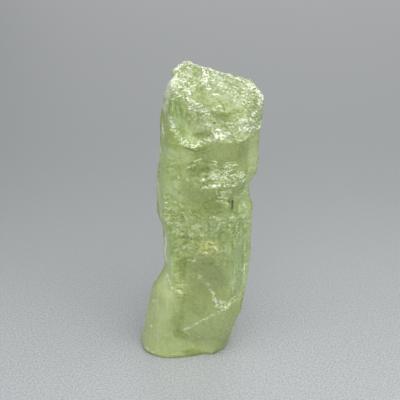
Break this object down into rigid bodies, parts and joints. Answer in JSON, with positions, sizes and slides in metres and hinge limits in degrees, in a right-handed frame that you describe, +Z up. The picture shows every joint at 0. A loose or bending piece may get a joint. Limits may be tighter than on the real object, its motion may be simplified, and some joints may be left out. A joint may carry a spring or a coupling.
{
  "type": "heliodor crystal",
  "caption": "Rough hexagonal prism of yellow-green heliodor, broken at both ends, with a small second crystal grown into its lower side.",
  "frame": {"origin": "middle of the crystal's footprint box, on the surface it stands on", "axes": "+Z up along the prism, -Y towards the side with the large chip, +X towards the notched side"},
  "size_m": [0.014, 0.0082, 0.035],
  "materials": {
    "heliodor": "clear to cloudy yellow-green beryl, glossy on its faces and sugary white where it is broken"
  },
  "bodies": {
    "root": {"heliodor_crystal": "heliodor"}
  },
  "joints": []
}
